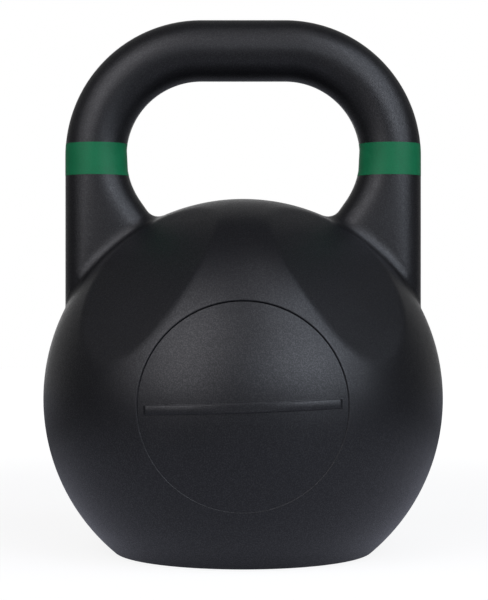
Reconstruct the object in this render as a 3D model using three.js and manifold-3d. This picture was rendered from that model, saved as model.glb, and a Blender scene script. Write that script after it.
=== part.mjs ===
// A 44 kg competition kettlebell, in millimetres, +Z up, front towards -Y.
// The origin is the middle of the flat base. A hollow cast ball carries four arched shoulders, a round
// front recess with a raised bar, and two sockets that take the spigots of a one-piece bent handle.
// Each horn of the handle widens from a round bar into a flat-fronted foot whose sole follows the ball
// and whose rim is filleted onto it. Ballast in the core is held by a sealed plug in the base.

import * as THREE from 'three';
import { mergeVertices } from 'three/addons/utils/BufferGeometryUtils.js';
import Module from 'manifold-3d';

const wasm = await Module();
wasm.setup();

// ---------------------------------------------------------------- driving dimensions

// Ball
const ballRadius = 114;
const baseFlatRadius = 73.2;
const baseRimRadius = 2.5;
const shoulderDepth = 5.9;
const shoulderArchRadius = 184;
const shoulderRiseDegrees = 41;
const shoulderTurnDegrees = 50;

// Front recess and the bar across it
const recessRadius = 55;
const recessDepth = 0.5;
const recessAboveBallCentre = 1;
const barLength = 102;
const barHeight = 4.9;
const barProud = 0.45;
const barTiltDegrees = 1.9;

// Handle
const overallHeight = 304;
const handleSpan = 204;
const handleDiameter = 35;
const cornerRadius = 60.5;
const footCurveRadius = 45;
const footLeanDegrees = 35;
const footFlatShare = 0.7;
const flatSpread = 0.4;
const footFilletRadius = 8;
const filletRoomShare = 0.75;

// Spigots that seat the handle in the ball
const spigotRadius = 12;
const spigotLength = 46;
const spigotChamfer = 1.5;

// Colour bands, measured along the handle from the point where a horn starts to bend
const bandBelowBend = 11;
const bandAboveBend = 7;
const bandThickness = 0.7;

// Core, ballast, plug and washer
const coreRadius = 60;
const ballastDepth = 47.6;
const baseRecessRadius = 50;
const baseRecessDepth = 1.5;
const plugFlangeRadius = 24;
const plugFlangeThickness = 4;
const plugStemRadius = 17.6;
const plugStemLength = 18;
const plugEdge = 0.8;
const spannerHoleRadius = 2.5;
const spannerHoleDepth = 4;
const spannerHoleSpacing = 28;
const washerThickness = 1.5;

// Clearances
const seatGap = 0.3;
const threadGap = 0.4;

// Facets
const ballDetail = 11;
const coreDetail = 5;
const archSides = 112;
const sectionSides = 40;
const roundSides = 48;

// ---------------------------------------------------------------- sizes that follow

const ballCentreZ = Math.sqrt(ballRadius ** 2 - baseFlatRadius ** 2);
const ballCentre = new THREE.Vector3(0, 0, ballCentreZ);
const handleRadius = handleDiameter / 2;
const hornX = handleSpan / 2 - handleRadius;
const bendX = hornX - cornerRadius;
const bendZ = overallHeight - handleRadius - cornerRadius;
const bendLength = cornerRadius * Math.PI / 2;
const footLean = THREE.MathUtils.degToRad(footLeanDegrees);
const bandGrooveDepth = bandThickness + seatGap;
const grooveBelowBend = bandBelowBend + seatGap;
const grooveAboveBend = bandAboveBend + seatGap;
const grooveFootZ = bendZ - grooveBelowBend;
const shoulderRise = THREE.MathUtils.degToRad(shoulderRiseDegrees);
const shoulderTurn = THREE.MathUtils.degToRad(shoulderTurnDegrees);

// The spigot's length is measured down from the highest point of the ball that it passes.
const spigotTopZ = ballCentreZ + Math.sqrt(ballRadius ** 2 - (hornX - spigotRadius) ** 2);
const spigotFootZ = spigotTopZ - spigotLength;

// The plug stacks up from the recess in the base: its face, its flange, the washer, and their seat.
const plugFaceZ = baseRecessDepth;
const flangeTopZ = plugFaceZ + plugFlangeThickness;
const washerFootZ = flangeTopZ + seatGap;
const plugSeatZ = washerFootZ + washerThickness + seatGap;

// Far enough for a cutter to leave the bell.
const reach = 3 * ballRadius;

// ---------------------------------------------------------------- solids and meshes

const up = new THREE.Vector3(0, 0, 1);

/** The closed solid of a geometry: corners welded, collapsed triangles dropped. */
function solid(geometry) {
  const bare = geometry.clone();
  bare.deleteAttribute('normal');
  bare.deleteAttribute('uv');
  const welded = mergeVertices(bare, 1e-4);
  const corners = welded.index.array;
  const triangles = [];
  for (let i = 0; i < corners.length; i += 3) {
    const [a, b, c] = [corners[i], corners[i + 1], corners[i + 2]];
    if (a !== b && b !== c && c !== a) triangles.push(a, b, c);
  }
  return new wasm.Manifold(new wasm.Mesh({
    numProp: 3,
    vertProperties: new Float32Array(welded.attributes.position.array),
    triVerts: new Uint32Array(triangles),
  }));
}

/** A solid's surface as a three.js geometry. */
function geometryOf(body) {
  const { vertProperties, triVerts } = body.getMesh();
  const geometry = new THREE.BufferGeometry();
  geometry.setAttribute('position', new THREE.BufferAttribute(vertProperties, 3));
  geometry.setIndex(new THREE.BufferAttribute(triVerts, 1));
  geometry.computeVertexNormals();
  return geometry;
}

/** A solid of revolution about Z from [radius, height] pairs that run from its foot to its top. */
function turned(profile, sides = roundSides) {
  const points = profile.map(([radius, height]) => new THREE.Vector2(radius, height));
  return new THREE.LatheGeometry(points, sides).rotateX(Math.PI / 2);
}

/** A plain upright cylinder at x. */
function cylinder(radius, fromZ, toZ, x = 0, sides = roundSides) {
  const profile = [[0, fromZ], [radius, fromZ], [radius, toZ], [0, toZ]];
  return turned(profile, sides).translate(x, 0, 0);
}

/** A ball of triangles about the ball's centre. */
function ballOf(radius, detail) {
  return new THREE.IcosahedronGeometry(radius, detail).translate(0, 0, ballCentreZ);
}

/**
 * The skin over rings of points that all hold the same number of points. An open skin runs to a
 * point at each end; a closed one runs from its last ring back to its first.
 */
function skin(rings, ends) {
  const sides = rings[0].length;
  const points = rings.flat();
  const triangles = [];
  const last = ends ? rings.length - 1 : rings.length;
  for (let row = 0; row < last; row += 1) {
    const next = (row + 1) % rings.length;
    for (let side = 0; side < sides; side += 1) {
      const beside = (side + 1) % sides;
      const [a, b] = [row * sides + side, row * sides + beside];
      const [c, d] = [next * sides + side, next * sides + beside];
      triangles.push(a, b, d, a, d, c);
    }
  }
  if (ends) {
    const [start, finish] = ends;
    const first = points.push(start) - 1;
    const final = points.push(finish) - 1;
    const lastRow = (rings.length - 1) * sides;
    for (let side = 0; side < sides; side += 1) {
      const beside = (side + 1) % sides;
      triangles.push(first, beside, side, final, lastRow + side, lastRow + beside);
    }
  }
  return new THREE.BufferGeometry().setFromPoints(points).setIndex(triangles);
}

// ---------------------------------------------------------------- ball

/**
 * What is cut away to leave the flat base with a rounded rim: everything below the floor, with the
 * rim rolled into the ball by an arc that is tangent to the flat. The arc stops short of its tangent
 * on the ball, so that cutter and ball cross cleanly.
 */
function baseCutter(sides) {
  const rimHeight = ballCentreZ - baseRimRadius;
  const rimReach = Math.sqrt((ballRadius - baseRimRadius) ** 2 - rimHeight ** 2);
  const fullTurn = Math.atan2(rimReach, rimHeight);
  const steps = 3;
  const profile = [[0, 0]];
  let turn = 0;
  for (let step = 0; step <= steps; step += 1) {
    turn = 0.82 * fullTurn * step / steps;
    profile.push([
      rimReach + baseRimRadius * Math.sin(turn),
      baseRimRadius * (1 - Math.cos(turn)),
    ]);
  }
  const [edgeRadius, edgeHeight] = profile.at(-1);
  const outwards = ballRadius - edgeRadius + baseRimRadius;
  profile.push([edgeRadius + outwards, edgeHeight + outwards * Math.tan(turn)]);
  profile.push([edgeRadius + outwards, -reach], [0, -reach]);
  return solid(turned(profile.reverse(), sides));
}

/**
 * What is kept at a shoulder: a lying cylinder much wider than the ball, set back so that its crown
 * cuts a shoulder's depth off the ball and arches with it from the waist up to the crown.
 */
function shoulderKeeper(sideX, sideY) {
  const level = new THREE.Vector3(sideX * Math.cos(shoulderTurn), sideY * Math.sin(shoulderTurn), 0);
  const outwards = level.multiplyScalar(Math.cos(shoulderRise)).addScaledVector(up, Math.sin(shoulderRise));
  const axis = up.clone().cross(outwards).normalize();
  const drum = new THREE.CylinderGeometry(shoulderArchRadius, shoulderArchRadius, reach, archSides);
  drum.applyQuaternion(new THREE.Quaternion().setFromUnitVectors(new THREE.Vector3(0, 1, 0), axis));
  const centre = outwards.multiplyScalar(ballRadius - shoulderDepth - shoulderArchRadius).add(ballCentre);
  return solid(drum.translate(centre.x, centre.y, centre.z));
}

/** A shallow round recess whose floor runs parallel to the ball. */
function frontRecess() {
  const drum = new THREE.CylinderGeometry(recessRadius, recessRadius, 0.5 * ballRadius, 56);
  drum.translate(0, -ballRadius, ballCentreZ + recessAboveBallCentre);
  return solid(drum).subtract(solid(ballOf(ballRadius - recessDepth, ballDetail)));
}

/** The raised bar across the recess, whose face also runs parallel to the ball. */
function frontBar() {
  const block = new THREE.BoxGeometry(barLength, 0.5 * ballRadius, barHeight);
  block.rotateY(-THREE.MathUtils.degToRad(barTiltDegrees));
  block.translate(0, -ballRadius, ballCentreZ + recessAboveBallCentre);
  return solid(block).intersect(solid(ballOf(ballRadius + barProud, ballDetail)));
}

function ballShell() {
  let body = solid(ballOf(ballRadius, ballDetail));
  for (const sideX of [-1, 1]) {
    for (const sideY of [-1, 1]) body = body.intersect(shoulderKeeper(sideX, sideY));
  }
  body = body.subtract(baseCutter(56));
  body = body.subtract(frontRecess()).add(frontBar());
  for (const side of [-1, 1]) {
    const socket = cylinder(spigotRadius + seatGap, spigotFootZ - seatGap, reach, side * hornX);
    body = body.subtract(solid(socket));
  }
  body = body.subtract(solid(cylinder(baseRecessRadius, -1, baseRecessDepth)));
  body = body.subtract(solid(cylinder(plugFlangeRadius + seatGap, -1, plugSeatZ)));
  body = body.subtract(solid(cylinder(plugStemRadius + threadGap, -1, ballCentreZ)));
  return body.subtract(solid(ballOf(coreRadius, coreDetail)));
}

// ---------------------------------------------------------------- handle

/** The inner edge of a horn at height z: straight up, then a curve, then a straight lean inwards. */
function innerEdgeX(z) {
  const barInnerX = hornX - handleRadius;
  const drop = Math.max(bendZ - z, 0);
  const curveDrop = footCurveRadius * Math.sin(footLean);
  if (drop <= curveDrop) {
    return barInnerX - footCurveRadius + Math.sqrt(footCurveRadius ** 2 - drop ** 2);
  }
  const curveEndX = barInnerX - footCurveRadius * (1 - Math.cos(footLean));
  return curveEndX - (drop - curveDrop) * Math.tan(footLean);
}

/**
 * A point on the right horn below the bend: at height z, and at an angle round its section. The outer
 * half of the section stays the bar's circle. What the horn gains in width goes partly into flats at
 * its front and back, which open where the cosine of the angle is small, and partly into making the
 * inner half an ellipse.
 */
function hornPoint(angle, z, inset = 0) {
  const gained = hornX - handleRadius - innerEdgeX(z);
  const flat = footFlatShare * gained;
  const radius = handleRadius - inset;
  const cosine = Math.cos(angle);
  const reachX = cosine > 0 ? radius : radius + gained - flat;
  const shift = flat * THREE.MathUtils.smoothstep(-cosine, -flatSpread, flatSpread);
  return new THREE.Vector3(hornX - shift + reachX * cosine, radius * Math.sin(angle), z);
}

/** A point on the right half of the handle, a distance along it above the start of the bend. */
function barPoint(angle, along, inset = 0) {
  if (along <= 0) return hornPoint(angle, bendZ + along, inset);
  const turn = Math.min(along / cornerRadius, Math.PI / 2);
  const straight = Math.max(along - bendLength, 0);
  const out = (handleRadius - inset) * Math.cos(angle);
  return new THREE.Vector3(
    bendX - straight + (cornerRadius + out) * Math.cos(turn),
    (handleRadius - inset) * Math.sin(angle),
    bendZ + (cornerRadius + out) * Math.sin(turn),
  );
}

const sectionAngles = Array.from({ length: sectionSides }, (_, i) => 2 * Math.PI * i / sectionSides);

/** Where the horn's side at an angle meets the sole, which lies a seat gap off the ball. */
function solePoint(angle) {
  let [low, high] = [ballCentreZ, bendZ];
  for (let step = 0; step < 40; step += 1) {
    const middle = (low + high) / 2;
    const inside = hornPoint(angle, middle).distanceTo(ballCentre) < ballRadius + seatGap;
    if (inside) low = middle; else high = middle;
  }
  return hornPoint(angle, low);
}

/** Moves a point along its ray from the ball's centre onto the sole. */
function ontoSole(point, lift = 0) {
  const ray = point.clone().sub(ballCentre).setLength(ballRadius + seatGap + lift);
  return ray.add(ballCentre);
}

/**
 * The fillet between the horn's side and the ball at one angle, from the ball up to the horn: an arc
 * that leaves the side tangent to it and turns until it lies along the ball. It is kept small enough
 * to end on the horn below the colour band's groove.
 */
function filletPoints(angle, steps) {
  const corner = solePoint(angle);
  const nudge = 0.01;
  const along = solePoint(angle + nudge).sub(solePoint(angle - nudge)).normalize();
  const wall = hornPoint(angle, corner.z + 1).sub(corner);
  wall.addScaledVector(along, -wall.dot(along)).normalize();
  const normal = corner.clone().sub(ballCentre).normalize();
  const away = along.clone().cross(normal).normalize();
  const out = away.clone().addScaledVector(wall, -wall.dot(away)).normalize();
  const turn = Math.PI - wall.angleTo(away);
  const room = filletRoomShare * (grooveFootZ - corner.z) / wall.z;
  const radius = Math.min(footFilletRadius, room / Math.tan(turn / 2));
  const run = radius * Math.tan(turn / 2);
  const points = [ontoSole(corner.clone().addScaledVector(away, run))];
  for (let step = 0; step <= steps; step += 1) {
    const part = THREE.MathUtils.lerp(0.88, 0, step / steps) * turn;
    const point = corner.clone().addScaledVector(wall, run - radius * Math.sin(part));
    points.push(point.addScaledVector(out, radius * (1 - Math.cos(part))));
  }
  return points;
}

/** The rings of the right half of the handle, from the foot of its spigot to the middle of the bar. */
function halfHandleRings() {
  const rings = [];
  const ringOf = (pointAt) => rings.push(sectionAngles.map(pointAt));
  const spigotPoint = (angle, radius, z) => new THREE.Vector3(
    hornX + radius * Math.cos(angle), radius * Math.sin(angle), z);

  ringOf((angle) => spigotPoint(angle, spigotRadius - spigotChamfer, spigotFootZ));
  ringOf((angle) => spigotPoint(angle, spigotRadius, spigotFootZ + spigotChamfer));

  const filletSteps = 4;
  const fillets = sectionAngles.map((angle) => filletPoints(angle, filletSteps));
  for (const share of [0, 0.25, 0.5, 0.75]) {
    ringOf((angle, i) => {
      const onSpigot = spigotPoint(angle, spigotRadius, ballCentreZ);
      const onRim = fillets[i][0];
      const x = THREE.MathUtils.lerp(onSpigot.x, onRim.x, share);
      const y = THREE.MathUtils.lerp(onSpigot.y, onRim.y, share);
      const height = Math.sqrt((ballRadius + seatGap) ** 2 - x ** 2 - y ** 2);
      return new THREE.Vector3(x, y, ballCentreZ + height);
    });
  }
  for (let row = 0; row < fillets[0].length; row += 1) ringOf((angle, i) => fillets[i][row]);

  const hornRows = 6;
  for (let row = 1; row < hornRows; row += 1) {
    ringOf((angle, i) => {
      const start = fillets[i].at(-1).z;
      return hornPoint(angle, THREE.MathUtils.lerp(start, grooveFootZ, row / hornRows));
    });
  }

  ringOf((angle) => barPoint(angle, -grooveBelowBend));
  for (const along of [-grooveBelowBend, 0, grooveAboveBend]) {
    ringOf((angle) => barPoint(angle, along, bandGrooveDepth));
  }
  ringOf((angle) => barPoint(angle, grooveAboveBend));

  const bendRows = 9;
  for (let row = 1; row <= bendRows; row += 1) {
    const along = THREE.MathUtils.lerp(grooveAboveBend, bendLength, row / bendRows);
    ringOf((angle) => barPoint(angle, along));
  }
  ringOf((angle) => barPoint(angle, bendLength + bendX));
  return rings;
}

const mirrored = (point) => new THREE.Vector3(-point.x, point.y, point.z);

function handle() {
  const half = halfHandleRings();
  const otherHalf = half.slice(0, -1).reverse().map((ring) => ring.map(mirrored));
  const foot = new THREE.Vector3(hornX, 0, spigotFootZ);
  return solid(skin([...half, ...otherHalf], [foot, mirrored(foot)]));
}

/** A colour band: a thin sleeve that lies flush in its groove round one horn. */
function colourBand(side) {
  const stations = [-bandBelowBend, 0, bandAboveBend];
  const outside = stations.map((along) => sectionAngles.map((angle) => barPoint(angle, along)));
  const inside = stations.map((along) => sectionAngles.map(
    (angle) => barPoint(angle, along, bandThickness)));
  const rings = [...outside, ...inside.reverse()];
  if (side > 0) return solid(skin(rings));
  return solid(skin(rings.map((ring) => ring.map(mirrored).reverse())));
}

// ---------------------------------------------------------------- core, plug and washer

/** Ballast set against the top of the core, with a level face towards the plug. */
function ballast() {
  const radius = coreRadius - 2 * seatGap;
  const levelHeight = coreRadius - ballastDepth;
  const rows = 9;
  const levelTurn = Math.acos(levelHeight / radius);
  const profile = [[0, levelHeight]];
  for (let row = 0; row <= rows; row += 1) {
    const turn = levelTurn * (1 - row / rows);
    profile.push([row < rows ? radius * Math.sin(turn) : 0, radius * Math.cos(turn)]);
  }
  return solid(turned(profile, sectionSides).translate(0, 0, ballCentreZ));
}

/** The plug: a flange and a plain stem, with two holes in its face for a pin spanner. */
function basePlug() {
  const stemTopZ = flangeTopZ + plugStemLength;
  const profile = [
    [0, plugFaceZ],
    [plugFlangeRadius - plugEdge, plugFaceZ],
    [plugFlangeRadius, plugFaceZ + plugEdge],
    [plugFlangeRadius, flangeTopZ],
    [plugStemRadius, flangeTopZ],
    [plugStemRadius, stemTopZ - plugEdge],
    [plugStemRadius - plugEdge, stemTopZ],
    [0, stemTopZ],
  ];
  let body = solid(turned(profile, sectionSides));
  for (const side of [-1, 1]) {
    const x = side * spannerHoleSpacing / 2;
    const hole = cylinder(spannerHoleRadius, -1, plugFaceZ + spannerHoleDepth, x, 16);
    body = body.subtract(solid(hole));
  }
  return body;
}

function plugWasher() {
  const inner = plugStemRadius + threadGap;
  const [foot, top] = [washerFootZ, washerFootZ + washerThickness];
  const outer = plugFlangeRadius;
  const profile = [[inner, foot], [outer, foot], [outer, top], [inner, top], [inner, foot]];
  return solid(turned(profile, sectionSides));
}

// ---------------------------------------------------------------- finishes and assembly

const powderCoat = { color: 0x2c2c30, roughness: 0.55, metalness: 0.1 };
const bandPaint = { color: 0x1d6b42, roughness: 0.5, metalness: 0 };
const ironShot = { color: 0x5b5854, roughness: 0.8, metalness: 0.3 };
const zincPlate = { color: 0x3a3a3e, roughness: 0.4, metalness: 0.8 };
const blackRubber = { color: 0x161616, roughness: 0.85, metalness: 0 };

function piece(name, body, finish) {
  const mesh = new THREE.Mesh(geometryOf(body), new THREE.MeshStandardMaterial(finish));
  mesh.name = name;
  return mesh;
}

const kettlebell = new THREE.Group();
kettlebell.add(
  piece('ball_shell', ballShell(), powderCoat),
  piece('handle', handle(), powderCoat),
  piece('left_colour_band', colourBand(-1), bandPaint),
  piece('right_colour_band', colourBand(1), bandPaint),
  piece('ballast', ballast(), ironShot),
  piece('base_plug', basePlug(), zincPlate),
  piece('plug_washer', plugWasher(), blackRubber),
);

export default kettlebell;
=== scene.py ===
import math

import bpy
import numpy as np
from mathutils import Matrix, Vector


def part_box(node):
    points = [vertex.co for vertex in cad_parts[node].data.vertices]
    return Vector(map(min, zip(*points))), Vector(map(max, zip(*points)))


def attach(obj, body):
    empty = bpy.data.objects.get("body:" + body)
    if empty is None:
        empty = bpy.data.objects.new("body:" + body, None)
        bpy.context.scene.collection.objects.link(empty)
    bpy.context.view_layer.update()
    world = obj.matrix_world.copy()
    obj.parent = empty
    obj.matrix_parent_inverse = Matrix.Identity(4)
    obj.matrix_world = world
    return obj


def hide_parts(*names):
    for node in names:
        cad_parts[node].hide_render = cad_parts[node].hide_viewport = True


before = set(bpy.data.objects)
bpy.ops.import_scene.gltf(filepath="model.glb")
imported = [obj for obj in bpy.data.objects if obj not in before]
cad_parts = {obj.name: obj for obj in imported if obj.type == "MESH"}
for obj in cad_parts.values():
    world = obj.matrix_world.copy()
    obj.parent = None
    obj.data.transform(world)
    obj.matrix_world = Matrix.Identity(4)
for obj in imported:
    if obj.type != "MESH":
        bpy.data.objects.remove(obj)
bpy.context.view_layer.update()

# A 44 kg competition kettlebell in black powder coat with green colour bands. Metres, +Z up, front
# towards -Y. Each piece is a surface worked out as whole arrays: the ball from rays about its centre,
# the handle and the bands from sections carried along a path, the front plate from a height over a
# disc. The plug, its washer and the ballast are the frame's own.

# ---------------------------------------------------------------- sizes

MM = 0.001

# From the frame
BALL_LOW, BALL_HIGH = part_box("ball_shell")
HANDLE_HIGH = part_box("handle")[1]
BAND_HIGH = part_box("right_colour_band")[1]
PLUG_LOW, PLUG_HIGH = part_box("base_plug")
BALL_RADIUS = (BALL_HIGH.x - BALL_LOW.x) / 2
CENTRE_Z = BALL_HIGH.z - BALL_RADIUS
BAR_RADIUS = BAND_HIGH.y
HORN_X = BAND_HIGH.x - BAR_RADIUS
BAR_Z = HANDLE_HIGH.z - BAR_RADIUS
CENTRE = np.array([0, 0, CENTRE_Z])

# Ball
BASE_RIM = 2.5 * MM
SHOULDER_SINK = 5.9 * MM
SHOULDER_ARCH = 184 * MM
SHOULDER_TURN = math.radians(50)
SHOULDER_RISE = math.radians(41)
SHOULDER_RIM = 0.55 * MM
BASE_RECESS = 50 * MM
BASE_EDGE = 0.4 * MM
PLUG_SEAT = PLUG_HIGH.x + 0.3 * MM
PLUG_SEAT_DEPTH = 6.1 * MM
FILLING_HOLE = 18 * MM
CORE_RADIUS = 60 * MM

# Front recess. Its edge goes from the lip down by pairs: how much wider than the recess it is, and
# how deep under the ball's skin.
RECESS_RADIUS = 55 * MM
RECESS_DEPTH = 0.6 * MM
RECESS_Z = CENTRE_Z + 1 * MM
RECESS_EDGE = np.array([(0.42, 0), (0.33, 0.03), (0.08, 0.26), (0.02, 0.36), (0, 0.6), (0, 1.0),
                        (0, 1.8)]) * MM
RECESS_LIFT = 0.1 * MM
PLATE_GAP = 0.12 * MM
PLATE_DROP = 0.16 * MM
PLATE_TILT = 0.25 * MM
PLATE_BACK = 1.6 * MM

# The bar across the recess
BAR_TILT = math.radians(1.9)
BAR_LENGTH = 102 * MM
BAR_HEIGHT = 4.9 * MM
BAR_RISE = 0.95 * MM
BAR_CROWN = 0.55
WALL_PULL = 0.6
WALL_REACH = 0.7 * MM

# Handle
CORNER_RADIUS = 60.5 * MM
FOOT_CURVE = 45 * MM
FOOT_LEAN = math.radians(35)
FOOT_FLAT = 0.7
FOOT_FILLET = 8 * MM
FRONT_FILLET_UP = 8.4 * MM
FRONT_FILLET_ACROSS = 5.2 * MM
SOLE_SINK = 0.6 * MM
SOLE_DEPTH = 3 * MM
HANDLE_SIDES = 112
BEND_X = HORN_X - CORNER_RADIUS
BEND_Z = BAR_Z - CORNER_RADIUS
BEND_LENGTH = CORNER_RADIUS * math.pi / 2
BAND_BELOW_BEND = 11.45 * MM
BAND_ABOVE_BEND = 6.85 * MM
BAND_COAT = 0.06 * MM
BAND_EDGE = 0.05 * MM
BAND_DEPTH = 0.5 * MM


# ---------------------------------------------------------------- meshes from arrays

class Skin:
    """Gathers grids of points into one mesh. A face looks along the cross product of the way its
    rows follow each other and the way its columns do."""

    def __init__(self):
        self.points = np.zeros((0, 3))
        self.quads = []
        self.triangles = []

    def place(self, points):
        """Adds an array of points of any shape and returns their indices in that shape."""
        first = len(self.points)
        self.points = np.vstack([self.points, points.reshape(-1, 3)])
        return np.arange(first, len(self.points)).reshape(points.shape[:-1])

    def grid(self, rows, around=True, keep=None):
        """Quads between the rows of an index array, closed round the columns if asked. keep says
        which of the cells are wanted."""
        if around:
            rows = np.column_stack([rows, rows[:, :1]])
        a, b = rows[:-1, :-1], rows[:-1, 1:]
        c, d = rows[1:, 1:], rows[1:, :-1]
        cells = np.stack([a, d, c, b], axis=-1)
        self.quads.append(cells.reshape(-1, 4) if keep is None else cells[keep])

    def fan(self, ring, tip, first):
        """Triangles from a ring to a point, which lies before the ring or after it."""
        beside = np.roll(ring, -1)
        tips = np.full_like(ring, tip)
        order = [tips, ring, beside] if first else [tips, beside, ring]
        self.triangles.append(np.column_stack(order))

    def finish(self, name, sharp=35):
        """Makes the object from the points that faces use. Only edges over that angle look sharp."""
        quads = np.vstack(self.quads)
        triangles = np.vstack(self.triangles) if self.triangles else np.zeros((0, 3), int)
        used = np.unique(np.concatenate([quads.ravel(), triangles.ravel()]))
        place = np.zeros(len(self.points), int)
        place[used] = np.arange(len(used))
        faces = place[quads].tolist() + place[triangles].tolist()
        mesh = bpy.data.meshes.new(name)
        mesh.from_pydata(self.points[used].tolist(), [], faces)
        mesh.polygons.foreach_set("use_smooth", np.ones(len(faces), bool))
        mesh.set_sharp_from_angle(angle=math.radians(sharp))
        piece = bpy.data.objects.new(name, mesh)
        bpy.context.scene.collection.objects.link(piece)
        return piece


def turned(profile, sides):
    """Rings of points: each (radius, height) of a profile carried round the upright axis."""
    profile = np.asarray(profile, float)
    angle = np.linspace(0, 2 * math.pi, sides, endpoint=False)
    radius, height = profile[:, :1], profile[:, 1:]
    return np.stack([radius * np.cos(angle), radius * np.sin(angle), height + 0 * angle], axis=-1)


def unit(vectors):
    """Vectors divided by their lengths."""
    return vectors / np.linalg.norm(vectors, axis=-1, keepdims=True)


# ---------------------------------------------------------------- ball

def base_rim_centre():
    """Where the arc that rolls the base's rim into the ball is centred: how far out from the ball's
    centre and how far down."""
    down = CENTRE_Z - BASE_RIM
    return math.sqrt((BALL_RADIUS - BASE_RIM) ** 2 - down ** 2), down


def on_ball(directions):
    """Points on the ball along unit directions. Four shoulders are cut to arches: cylinders with
    level axes, each wider than the ball and set so far back that its crown lies a little under the
    ball's skin. A ray leaves an arch at t where (t n - c)(t n - c) + (t u)(t u) = arch radius
    squared, n and u being its parts along the arch's axis of symmetry and up it. Rays with n under
    0.3 pass far from the arch and are left out. The nearer of ball and arch is taken, with their
    crossing rounded over by a parabola."""
    reach = np.full(directions.shape[:-1], BALL_RADIUS)
    back = BALL_RADIUS - SHOULDER_SINK - SHOULDER_ARCH
    for x in (-1, 1):
        for y in (-1, 1):
            level = np.array([x * math.cos(SHOULDER_TURN), y * math.sin(SHOULDER_TURN), 0])
            upright = np.array([0, 0, 1])
            n = directions @ (level * math.cos(SHOULDER_RISE) + upright * math.sin(SHOULDER_RISE))
            u = directions @ (upright * math.cos(SHOULDER_RISE) - level * math.sin(SHOULDER_RISE))
            square = n * n + u * u
            root = np.sqrt(n * n * back * back + square * (SHOULDER_ARCH ** 2 - back * back))
            arch = np.where(n > 0.3, (n * back + root) / square, 2 * BALL_RADIUS)
            near = np.maximum(SHOULDER_RIM - np.abs(arch - reach), 0)
            reach = np.minimum(reach, arch) - near * near / (4 * SHOULDER_RIM)
    return directions * reach[..., None] + CENTRE


def front_direction(x, z):
    """Unit directions from the ball's centre to its front surface at x and z."""
    up = z - CENTRE_Z
    depth = np.sqrt(np.maximum(BALL_RADIUS ** 2 - x ** 2 - up ** 2, 0))
    return np.stack([x, -depth, up], axis=-1) / BALL_RADIUS


def recess_ring(angle, grow):
    """Directions to points round the front recess, on a circle that much wider than it. The wall is
    lifted and the plate dropped a little, so that a thin gap opens over the plate's top half."""
    reach = RECESS_RADIUS + grow
    return front_direction(reach * np.cos(angle), RECESS_Z + RECESS_LIFT + reach * np.sin(angle))


def base_profile():
    """The underside from the rim's arc inwards: the flat, the recess, the plug's seat, its hole and
    the core up to the core's top, as (radius, height)."""
    across, down = base_rim_centre()
    turns = np.linspace(math.atan2(across, down), 0, 8)[1:]
    arc = [(across + BASE_RIM * math.sin(t), BASE_RIM * (1 - math.cos(t))) for t in turns]
    edge = BASE_EDGE
    recess = PLUG_LOW.z
    seat = recess + PLUG_SEAT_DEPTH
    steps = [
        (BASE_RECESS + edge, 0), (BASE_RECESS, edge), (BASE_RECESS, recess - edge / 2),
        (BASE_RECESS - edge / 2, recess), (PLUG_SEAT + edge, recess), (PLUG_SEAT, recess + edge),
        (PLUG_SEAT, seat), (FILLING_HOLE, seat),
    ]
    start = math.asin(FILLING_HOLE / CORE_RADIUS)
    core = [(CORE_RADIUS * math.sin(t), CENTRE_Z - CORE_RADIUS * math.cos(t))
            for t in np.linspace(start, math.pi, 25)[:-1]]
    return arc + steps + core, CENTRE_Z + CORE_RADIUS


def ball():
    """One closed shell. The outside is a grid of rays by height angle and turn, with a window left
    round the front recess. Rows of the window's own close in from its edge to the recess's circle,
    then run down the wall and across the floor under the plate."""
    skin = Skin()
    columns = 432
    step = 2 * math.pi / columns
    across, down = base_rim_centre()
    last = math.pi - math.atan2(across, down)
    tilt = np.append(np.arange(1, int(last / step)) * step, last)[:, None]
    turn = (np.arange(columns) * step)[None, :]
    rays = np.stack([np.sin(tilt) * np.cos(turn), np.sin(tilt) * np.sin(turn),
                     np.cos(tilt) + 0 * turn], axis=-1)
    outside = skin.place(on_ball(rays))

    middle_column = 3 * columns // 4
    middle_row = round((math.pi / 2 - math.asin((RECESS_Z - CENTRE_Z) / BALL_RADIUS)) / step) - 1
    reach = 40
    top, bottom = middle_row - reach, middle_row + reach
    left, right = middle_column - reach, middle_column + reach
    keep = np.ones((len(outside) - 1, columns), bool)
    keep[top:bottom, left:right] = False
    skin.grid(outside, keep=keep)
    crown = skin.place(np.array([0, 0, CENTRE_Z + BALL_RADIUS]))
    skin.fan(outside[0], crown, True)

    profile, core_top = base_profile()
    underside = skin.place(turned(profile, columns))
    skin.grid(np.vstack([outside[-1:], underside]))
    skin.fan(underside[-1], skin.place(np.array([0, 0, core_top])), False)

    edge = np.concatenate([
        outside[top, left:right], outside[top:bottom, right],
        outside[bottom, right:left:-1], outside[bottom:top:-1, left],
    ])
    edge_rays = unit(skin.points[edge] - CENTRE)
    angle = np.arctan2(BALL_RADIUS * edge_rays[:, 2] + CENTRE_Z - RECESS_Z,
                       BALL_RADIUS * edge_rays[:, 0])
    circle = recess_ring(angle, RECESS_EDGE[0][0])
    shares = np.linspace(0, 1, 12)[1:, None, None]
    rows = [edge[None], skin.place(on_ball(unit(edge_rays * (1 - shares) + circle * shares)))]
    for grow, drop in RECESS_EDGE[1:]:
        rows.append(skin.place(recess_ring(angle, grow)[None] * (BALL_RADIUS - drop) + CENTRE))
    wall = recess_ring(angle, RECESS_EDGE[-1][0])
    middle = front_direction(np.zeros(1), np.full(1, RECESS_Z))
    shares = np.array([0.8, 0.55, 0.3, 0.1])[:, None, None]
    pocket = BALL_RADIUS - RECESS_EDGE[-1][1]
    rows.append(skin.place(unit(wall * shares + middle * (1 - shares)) * pocket + CENTRE))
    rows = np.vstack(rows)
    skin.grid(rows)
    skin.fan(rows[-1], skin.place(middle[0] * pocket + CENTRE), False)
    return skin.finish("ball")


# ---------------------------------------------------------------- front plate

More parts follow.
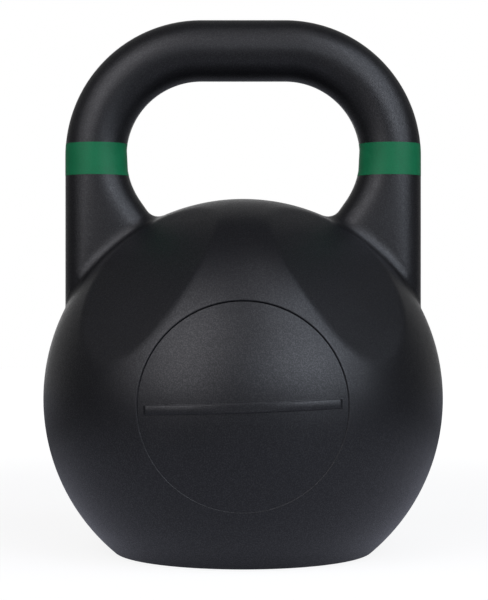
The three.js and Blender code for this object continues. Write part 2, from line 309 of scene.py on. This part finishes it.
def to_outline(outline, x, z):
    """The way from points to the nearest ones of an outline, as steps (x, z) and a signed distance
    that is positive inside."""
    nearest = np.full(x.shape, np.inf)
    step_x, step_z = np.zeros(x.shape), np.zeros(x.shape)
    inside = np.zeros(x.shape, bool)
    for (ax, az), (bx, bz) in zip(outline, np.roll(outline, -1, axis=0)):
        ex, ez = bx - ax, bz - az
        share = np.clip(((x - ax) * ex + (z - az) * ez) / (ex * ex + ez * ez), 0, 1)
        dx, dz = ax + share * ex - x, az + share * ez - z
        off = np.hypot(dx, dz)
        closer = off < nearest
        nearest = np.where(closer, off, nearest)
        step_x, step_z = np.where(closer, dx, step_x), np.where(closer, dz, step_z)
        spans = (az > z) != (bz > z)
        inside ^= spans & (x < ax + (z - az) * ex / (ez if ez else 1e-12))
    return step_x, step_z, np.where(inside, nearest, -nearest)


def smooth(value, low, high):
    """0 up to low, 1 from high on, and share share (3 - 2 share) between them."""
    share = np.clip((value - low) / (high - low), 0, 1)
    return share * share * (3 - 2 * share)


def plate_bar(x, z):
    """The bar over points of the plate: returns the points moved and the height there. Points near
    its outline are drawn to it by pull exp(-(distance / reach) squared) of the way, so that its
    wall is crisp. It has square ends and a top that is worn flat in its middle and rounded towards
    them."""
    cos, sin = math.cos(BAR_TILT), math.sin(BAR_TILT)
    along, up = x * cos + z * sin, z * cos - x * sin
    half = BAR_HEIGHT / 2
    strip = np.array([(-1, -1), (1, -1), (1, 1), (-1, 1)]) * [BAR_LENGTH / 2, half]
    step_x, step_z, depth = to_outline(strip, along, up)
    pull = WALL_PULL * np.exp(-(depth / WALL_REACH) ** 2)
    depth = depth * (1 - pull)
    crown = BAR_CROWN * smooth(np.abs(along), 4 * MM, 34 * MM)
    top = 1 - crown + crown * np.sqrt(np.maximum(1 - (up / half) ** 2, 0))
    height = BAR_RISE * np.minimum(smooth(depth, -0.1 * MM, 0.2 * MM), top)
    along, up = along + step_x * pull, up + step_z * pull
    return along * cos - up * sin, up * cos + along * sin, height


def front_plate():
    """The recess's floor as a closed disc. A square grid is drawn out to a disc by
    x = u sqrt(1 - v v / 2), z = v sqrt(1 - u u / 2), with its lines closer in the middle, and
    stands off the recess's floor by the height of the bar. The floor lies a little deeper at the
    top than at the bottom. The back is a fan from a point under the middle."""
    skin = Skin()
    count = 301
    side = np.linspace(-1, 1, count)
    spread = 0.70 * side + 0.30 * side ** 3
    u, v = np.meshgrid(spread, spread)
    radius = RECESS_RADIUS - PLATE_GAP
    x, z, height = plate_bar(radius * u * np.sqrt(1 - v * v / 2),
                             radius * v * np.sqrt(1 - u * u / 2) - PLATE_DROP)
    floor = BALL_RADIUS - RECESS_DEPTH - PLATE_TILT * z / RECESS_RADIUS
    face = skin.place(front_direction(x, z + RECESS_Z) * (floor + height)[..., None] + CENTRE)
    skin.grid(face[::-1], around=False)
    edge = np.concatenate([face[0, :-1], face[:-1, -1], face[-1, :0:-1], face[:0:-1, 0]])
    rim = unit(skin.points[edge] - CENTRE)
    back = BALL_RADIUS - PLATE_BACK
    wall = skin.place(rim * back + CENTRE)
    skin.grid(np.vstack([edge, wall]))
    tip = front_direction(np.zeros(1), np.full(1, RECESS_Z))[0]
    skin.fan(wall, skin.place(tip * back + CENTRE), False)
    return skin.finish("front_plate", sharp=85)


# ---------------------------------------------------------------- handle

def inner_edge(z):
    """The horn's inner edge at height z: upright, then a curve, then a straight lean inwards."""
    upright = HORN_X - BAR_RADIUS
    drop = np.maximum(BEND_Z - z, 0)
    curve_drop = FOOT_CURVE * math.sin(FOOT_LEAN)
    curved = upright - FOOT_CURVE + np.sqrt(np.maximum(FOOT_CURVE ** 2 - drop ** 2, 0))
    curve_end = upright - FOOT_CURVE * (1 - math.cos(FOOT_LEAN))
    return np.where(drop <= curve_drop, curved, curve_end - (drop - curve_drop) * math.tan(FOOT_LEAN))


def horn_point(angle, z, inset=0.0):
    """The horn's side at a height and an angle round it. The outer half of the section stays the
    bar's circle. What the horn gains in width goes partly into flats at its front and back, which
    open where the cosine is small, and partly into making the inner half an ellipse."""
    gained = HORN_X - BAR_RADIUS - inner_edge(z)
    flat = FOOT_FLAT * gained
    radius, cosine = BAR_RADIUS - inset, np.cos(angle)
    reach = radius + np.where(cosine > 0, 0, gained - flat)
    return np.stack([HORN_X - flat * smooth(-cosine, -0.4, 0.4) + reach * cosine,
                     radius * np.sin(angle) + 0 * z, z + 0 * angle], axis=-1)


def bar_point(angle, along, inset=0.0):
    """The handle's side at a distance along it above the start of the bend: a circle carried round
    the bend and along the straight grip."""
    turn = np.clip(along / CORNER_RADIUS, 0, math.pi / 2)
    straight = np.maximum(along - BEND_LENGTH, 0)
    out = (BAR_RADIUS - inset) * np.cos(angle)
    bent = np.stack([BEND_X - straight + (CORNER_RADIUS + out) * np.cos(turn),
                     (BAR_RADIUS - inset) * np.sin(angle) + 0 * turn,
                     BEND_Z + (CORNER_RADIUS + out) * np.sin(turn)], axis=-1)
    horn = horn_point(angle, BEND_Z + np.minimum(along, 0), inset)
    return np.where((along <= 0)[..., None], horn, bent)


def sole_line(angle):
    """Where the horn's side meets the ball, found by halving the height between them."""
    low = np.full(angle.shape, CENTRE_Z)
    high = np.full(angle.shape, BEND_Z)
    for _ in range(40):
        middle = (low + high) / 2
        off = np.linalg.norm(horn_point(angle, middle) - CENTRE, axis=-1)
        inside = off < BALL_RADIUS
        low, high = np.where(inside, middle, low), np.where(inside, high, middle)
    return horn_point(angle, low)


def fillet_rows(angle, steps):
    """The fillet from the ball up to the horn's side: at each angle an arc that leaves the side
    tangent to it and turns until it lies along the ball. Towards the front and back it becomes a
    parabola, corner + across (1 - s)(1 - s) + up s s. A first row is sunk into the ball."""
    corner = sole_line(angle)
    along = unit(sole_line(angle + 0.01) - sole_line(angle - 0.01))
    wall = horn_point(angle, corner[:, 2] + MM) - corner
    wall = unit(wall - along * np.sum(wall * along, axis=-1, keepdims=True))
    away = unit(np.cross(along, unit(corner - CENTRE)))
    cosine = np.sum(wall * away, axis=-1)[:, None]
    out = unit(away - wall * cosine)
    turn = math.pi - np.arccos(np.clip(cosine, -1, 1))
    share = np.linspace(0, 1, steps)[:, None, None]
    run = np.tan(turn / 2)
    part = turn * (1 - share)
    arc = FOOT_FILLET * (wall * (run - np.sin(part)) + out * (1 - np.cos(part)))
    across = away * FRONT_FILLET_ACROSS * (1 - share) ** 2
    parabola = run * (across + wall * FRONT_FILLET_UP * share ** 2)
    front = np.sin(angle)[:, None] ** 2
    rows = corner + arc * (1 - front) + parabola * front
    rows[0] = unit(rows[0] - CENTRE) * BALL_RADIUS + CENTRE
    sunk = rows[0] - unit(rows[0] - CENTRE) * SOLE_SINK
    return np.concatenate([sunk[None], rows])


def handle():
    """The whole handle in one skin: a sole, fillet, horn, bend and grip on the right, and the same
    points mirrored on the left."""
    skin = Skin()
    angle = np.arange(HANDLE_SIDES) * 2 * math.pi / HANDLE_SIDES
    fillet = fillet_rows(angle, 12)
    band_foot = BEND_Z - BAND_BELOW_BEND
    share = np.linspace(0, 1, 30)[1:, None]
    horn = horn_point(angle, fillet[-1][:, 2] * (1 - share) + band_foot * share)
    along = np.concatenate([np.linspace(-BAND_BELOW_BEND, 0, 8)[1:],
                            np.linspace(0, BEND_LENGTH, 60)[1:],
                            np.linspace(BEND_LENGTH, BEND_LENGTH + BEND_X, 12)[1:]])
    bar = bar_point(angle + 0 * along[:, None], along[:, None])
    half = np.concatenate([fillet, horn, bar])
    other = half[-2::-1] * [-1, 1, 1]
    rows = skin.place(np.concatenate([half, other]))
    skin.grid(rows[:, ::-1])
    skin_height = math.sqrt(BALL_RADIUS ** 2 - HORN_X ** 2)
    sole = np.array([HORN_X, 0, CENTRE_Z + skin_height - SOLE_DEPTH])
    skin.fan(rows[0, ::-1], skin.place(sole), True)
    skin.fan(rows[-1, ::-1], skin.place(sole * [-1, 1, 1]), False)
    return skin.finish("handle_bar")


def colour_band(name, side):
    """A painted band as a thin closed sleeve that lies a coat's thickness proud of the handle. Its
    edges are level, so each point's height becomes a distance along the bend by
    corner radius * asin(height / (corner radius + bar radius * cos(angle)))."""
    skin = Skin()
    angle = np.arange(HANDLE_SIDES) * 2 * math.pi / HANDLE_SIDES
    low, high = -BAND_BELOW_BEND, BAND_ABOVE_BEND
    outside = np.concatenate([[low], np.linspace(low + BAND_EDGE, high - BAND_EDGE, 14), [high]])
    insets = np.full(len(outside), -BAND_COAT)
    insets[[0, -1]] = 0
    height = np.concatenate([outside, [high, low]])[:, None] + 0 * angle
    inset = np.concatenate([insets, [BAND_DEPTH, BAND_DEPTH]])[:, None]
    lean = np.maximum(height, 0) / (CORNER_RADIUS + (BAR_RADIUS - inset) * np.cos(angle))
    rings = bar_point(angle, np.where(height > 0, CORNER_RADIUS * np.arcsin(lean), height), inset)
    rows = skin.place(rings * [side, 1, 1])
    rows = np.vstack([rows, rows[:1]])
    skin.grid(rows[:, ::-1] if side > 0 else rows)
    return skin.finish(name)


# ---------------------------------------------------------------- materials

COAT_SPECULAR = 0.42
COAT_GLOSS = 0.5
BALL_DARK = (0.0040, 0.0042, 0.0056, 1)
BALL_LIGHT = (0.0065, 0.0067, 0.0088, 1)
HANDLE_DARK = (0.0040, 0.0040, 0.0050, 1)
HANDLE_LIGHT = (0.0065, 0.0065, 0.0080, 1)
BAND_DARK = (0.003, 0.135, 0.050, 1)
BAND_LIGHT = (0.005, 0.175, 0.068, 1)


class Socket:
    """A shader value that plain arithmetic can be written on."""

    def __init__(self, paint, socket):
        self.paint = paint
        self.socket = socket

    def maths(self, operation, other, reflected=False):
        values = [other, self] if reflected else [self, other]
        return self.paint.node("ShaderNodeMath", {"operation": operation}, dict(enumerate(values)))

    def __add__(self, other):
        return self.maths("ADD", other)

    def __sub__(self, other):
        return self.maths("SUBTRACT", other)

    def __mul__(self, other):
        return self.maths("MULTIPLY", other)

    def __rsub__(self, other):
        return self.maths("SUBTRACT", other, reflected=True)

    __radd__ = __add__
    __rmul__ = __mul__


class Wiring:
    """A node tree and the means to add nodes to it."""

    def __init__(self, tree):
        self.tree = tree

    def node(self, kind, settings=None, values=None, output=0):
        """Adds a node: its settings first, then the values or links of its sockets."""
        made = self.tree.nodes.new(kind)
        for key, value in (settings or {}).items():
            setattr(made, key, value)
        for key, value in (values or {}).items():
            self.feed(made.inputs[key], value)
        return Socket(self, made.outputs[output])

    def feed(self, socket, value):
        if isinstance(value, Socket):
            self.tree.links.new(value.socket, socket)
        else:
            socket.default_value = value

    def place(self):
        return self.node("ShaderNodeTexCoord", output="Object")

    def noise(self, scale, detail=2.0, roughness=0.5):
        return self.node("ShaderNodeTexNoise", {}, {
            "Vector": self.place(), "Scale": scale, "Detail": detail, "Roughness": roughness})

    def ramp(self, value, low, high):
        return self.node("ShaderNodeMapRange", {"interpolation_type": "SMOOTHSTEP"}, {
            "Value": value, "From Min": low, "From Max": high})

    def blend(self, share, first, second):
        return self.node("ShaderNodeMix", {"data_type": "RGBA"}, {0: share, 6: first, 7: second},
                         output=2)

    def scaled(self, colour, share):
        return self.node("ShaderNodeVectorMath", {"operation": "SCALE"}, {0: colour, "Scale": share})

    def bump(self, height, distance, normal=None):
        values = {"Height": height, "Distance": distance, "Strength": 1.0}
        if normal:
            values["Normal"] = normal
        return self.node("ShaderNodeBump", {}, values)

    def seen_directly(self):
        """Two values: 1 for rays from the camera, and 1 for those that come by a gloss or glass."""
        paths = [self.node("ShaderNodeLightPath", output=name)
                 for name in ("Is Camera Ray", "Is Glossy Ray", "Is Transmission Ray")]
        return paths[0], paths[1] + paths[2]


class Paint(Wiring):
    """A material built round one Principled shader."""

    def __init__(self, name):
        self.material = bpy.data.materials.new(name)
        self.material.use_nodes = True
        super().__init__(self.material.node_tree)

    def set(self, **values):
        """Sets the shader's own sockets, by name with underscores for spaces."""
        shader = self.tree.nodes["Principled BSDF"]
        for key, value in values.items():
            self.feed(shader.inputs[key.replace("_", " ")], value)


def powder_coat(name, dark, light):
    """Sand-grain powder coat: a fine grain of two sizes over a slow orange peel. The grain's tops
    carry the gloss, and its colour and roughness vary a little over the casting."""
    paint = Paint(name)
    grain = paint.noise(1500, 3, 0.65)
    fine = paint.noise(3600, 1)
    peel = paint.noise(160, 2)
    cloud = paint.noise(14, 3)
    tops = paint.ramp(grain, 0.42, 0.66)
    bump = paint.bump(peel, 0.08 * MM)
    bump = paint.bump(grain, 0.08 * MM, bump)
    bump = paint.bump(fine, 0.02 * MM, bump)
    share = tops * 0.5 + paint.ramp(cloud, 0.35, 0.7) * 0.5
    paint.set(Base_Color=paint.blend(share, dark, light), Specular_IOR_Level=COAT_SPECULAR,
              Roughness=0.36 + paint.ramp(cloud, 0.3, 0.75) * 0.06, Normal=bump,
              Coat_Weight=tops * COAT_GLOSS, Coat_Roughness=0.3)
    return paint.material


def band_paint():
    """Brushed enamel over the powder coat: the coat's grain shows through, softened."""
    paint = Paint("green_band_paint")
    grain = paint.noise(1300, 2)
    cloud = paint.noise(60, 3)
    share = paint.ramp(grain, 0.3, 0.7) * 0.5 + paint.ramp(cloud, 0.3, 0.7) * 0.5
    paint.set(Base_Color=paint.blend(share, BAND_DARK, BAND_LIGHT),
              Roughness=0.45 + paint.ramp(grain, 0.4, 0.7) * 0.1, Specular_IOR_Level=0.25,
              Normal=paint.bump(grain, 0.05 * MM))
    return paint.material


def zinc_plate():
    """Black zinc on the plug: a metal whose colour and gloss change in clouds."""
    paint = Paint("black_zinc_plate")
    grain = paint.noise(900, 2)
    cloud = paint.noise(90, 3)
    paint.set(Metallic=0.85, Roughness=0.3 + paint.ramp(cloud, 0.3, 0.7) * 0.2,
              Base_Color=paint.blend(paint.ramp(cloud, 0.3, 0.7), (0.05, 0.05, 0.055, 1),
                                     (0.09, 0.088, 0.085, 1)),
              Normal=paint.bump(grain, 0.015 * MM))
    return paint.material


def iron_shot():
    """The ballast: bright grains of iron that stand out of dark resin."""
    paint = Paint("iron_shot_in_resin")
    cells = paint.node("ShaderNodeTexVoronoi", {}, {"Vector": paint.place(), "Scale": 450})
    edge = paint.ramp(cells, 0.2, 0.6)
    paint.set(Base_Color=paint.blend(edge, (0.16, 0.15, 0.14, 1), (0.04, 0.035, 0.03, 1)),
              Metallic=0.5, Roughness=0.5 + edge * 0.3, Normal=paint.bump(1 - edge, 0.4 * MM))
    return paint.material


def washer_rubber():
    """Matt black rubber with a fine grain."""
    paint = Paint("moulded_rubber")
    grain = paint.noise(1200, 2)
    paint.set(Base_Color=paint.blend(grain, (0.010, 0.010, 0.010, 1), (0.022, 0.022, 0.022, 1)),
              Roughness=0.75 + grain * 0.15, Normal=paint.bump(grain, 0.03 * MM))
    return paint.material


# ---------------------------------------------------------------- floor, lights and camera

WHITE = (1.0, 1.0, 1.0, 1)
# COOL_WHITE tints the floor's painted glow as reflections see it.
COOL_WHITE = (0.91, 0.94, 1.15, 1)
WARM_LIGHT = (0.98, 0.97, 1.04)
COOL_LIGHT = (0.91, 0.98, 1.12)
ROOM_LIGHT = 0.096
BACKDROP = (-0.05, 0.999, 0)
BACKDROP_LIGHT = 0.175
FLOOR_GLOW = 0.86
# Painted light on the floor, seen only in reflections: how strongly it glows near the bell, and the
# spot that glow fades from.
FLOOR_PAINTED_GLOW = 0.34
FLOOR_SPOT = (0.06, -0.03, 0)
LAMP_AIM = Vector((0, 0, 0.14))
LAMP_DISTANCE = 1.5
LENS = 103.42
EYE = (0.0005, -0.990, 0.1435)


def stage():
    """A plain pale floor: a disc whose edge is lost in the white round it. Reflections see a painted
    cool glow on it, which fades with distance from a spot near the bell's right foot and brightens
    again far behind, and a painted contact shadow right round the bell's base."""
    rings = Skin()
    radii = np.array([0.15, 0.4, 0.8, 1.5, 2.6])
    rows = rings.place(turned(np.column_stack([radii, 0 * radii]), 64))
    rings.grid(rows[:, ::-1])
    rings.fan(rows[0, ::-1], rings.place(np.zeros(3)), True)
    floor = rings.finish("floor")
    paint = Paint("white_paper")
    camera_ray, mirrored = paint.seen_directly()
    away = paint.node("ShaderNodeVectorMath", {"operation": "LENGTH"}, {0: paint.place()},
                      output="Value")
    from_spot = paint.node("ShaderNodeVectorMath", {"operation": "DISTANCE"},
                           {0: paint.place(), 1: FLOOR_SPOT}, output="Value")
    behind = paint.node("ShaderNodeSeparateXYZ", {}, {"Vector": paint.place()}, output="Y")
    seen = FLOOR_GLOW + paint.ramp(away, 0.3, 1.0) * (1 - FLOOR_GLOW)
    # Painted reflection: a glow that only reflections see, fading from the spot, cut to nothing right
    # round the base as a painted contact shadow, and rising again far behind.
    spot = (1 - paint.ramp(from_spot, 0, 0.65)) * paint.ramp(away, 0.058, 0.09)
    reflected = FLOOR_PAINTED_GLOW * spot + BACKDROP_LIGHT * paint.ramp(behind, 0.3, 1.0)
    paint.set(Base_Color=(0.22, 0.22, 0.22, 1), Roughness=0.9, Specular_IOR_Level=0.0,
              Emission_Color=paint.scaled(paint.blend(camera_ray, COOL_WHITE, WHITE),
                                          camera_ray * seen + mirrored * reflected),
              Emission_Strength=1.0)
    floor.data.materials.append(paint.material)


def softbox(name, azimuth, elevation, half_width, half_height, radiance, colour):
    """A rectangular lamp round the bell, its place and half sizes in degrees as seen from it:
    azimuth 0 is in front of it and 90 towards +X."""
    turn, rise = math.radians(azimuth), math.radians(elevation)
    away = Vector((math.sin(turn) * math.cos(rise), -math.cos(turn) * math.cos(rise),
                   math.sin(rise)))
    light = bpy.data.lights.new(name, "AREA")
    light.shape = "RECTANGLE"
    light.size = 2 * LAMP_DISTANCE * math.tan(math.radians(half_width))
    light.size_y = 2 * LAMP_DISTANCE * math.tan(math.radians(half_height))
    light.energy = radiance * light.size * light.size_y * math.pi
    light.color = colour
    lamp = bpy.data.objects.new(name, light)
    bpy.context.scene.collection.objects.link(lamp)
    lamp.location = LAMP_AIM + away * LAMP_DISTANCE
    lamp.rotation_euler = away.to_track_quat("Z", "Y").to_euler()


def lights():
    """Two softboxes in front to the left and right, each with a second one that fills it out, a
    weak tall one between them, and a grey room that looks white to the camera. Reflections see a
    backdrop in the room behind the bell, in two steps of brightness."""
    softbox("left_softbox", -35, 35, 14, 30, 1.2, WARM_LIGHT)
    softbox("left_fill", -40, 27, 31, 24, 1.08, WARM_LIGHT)
    softbox("right_softbox", 50, 30, 22, 28, 1.93, COOL_LIGHT)
    softbox("right_fill", 25, 17, 19, 8, 1.86, COOL_LIGHT)
    softbox("front_softbox", 22, 44, 9, 37, 0.82, WARM_LIGHT)
    room = bpy.data.worlds.new("studio")
    bpy.context.scene.world = room
    room.use_nodes = True
    paint = Wiring(room.node_tree)
    camera_ray, mirrored = paint.seen_directly()
    direction = paint.node("ShaderNodeTexCoord", output="Generated")
    towards = paint.node("ShaderNodeVectorMath", {"operation": "DOT_PRODUCT"},
                         {0: direction, 1: BACKDROP}, output="Value")
    backdrop = (BACKDROP_LIGHT * paint.ramp(towards, 0.42, 0.86)
                + (1 - BACKDROP_LIGHT) * paint.ramp(towards, 0.9, 0.98))
    grey = ROOM_LIGHT + (camera_ray + mirrored * backdrop) * (1 - ROOM_LIGHT)
    paint.feed(paint.tree.nodes["Background"].inputs["Color"], grey)


def camera():
    """A level camera in front of the bell, near the height of its middle."""
    view = bpy.data.cameras.new("camera")
    view.sensor_fit = "AUTO"
    view.sensor_width = 36
    view.lens = LENS
    eye = bpy.data.objects.new("camera", view)
    bpy.context.scene.collection.objects.link(eye)
    eye.location = EYE
    eye.rotation_euler = (math.pi / 2, 0, 0)
    bpy.context.scene.camera = eye


# ---------------------------------------------------------------- assembly

def dress(piece, material, slot, *nodes):
    """Gives a piece its material, hangs it under the root body and hides the frame nodes it stands in
    for, if any.
    """
    piece.data.materials.clear()
    piece.data.materials.append(material)
    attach(piece, "root")
    if nodes:
        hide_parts(*nodes)


camera()
stage()
lights()

ball_coat = powder_coat("ball_powder_coat", BALL_DARK, BALL_LIGHT)
handle_coat = powder_coat("handle_powder_coat", HANDLE_DARK, HANDLE_LIGHT)
green_paint = band_paint()

dress(ball(), ball_coat, "ball_coat", "ball_shell")
dress(front_plate(), ball_coat, "ball_coat")
dress(handle(), handle_coat, "handle_coat", "handle")
dress(colour_band("left_band", -1), green_paint, "band_paint", "left_colour_band")
dress(colour_band("right_band", 1), green_paint, "band_paint", "right_colour_band")
for node, material in (("ballast", iron_shot()), ("base_plug", zinc_plate()),
                       ("plug_washer", washer_rubber())):
    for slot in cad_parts[node].material_slots:
        slot.material = material

bpy.context.scene.view_settings.view_transform = "Standard"
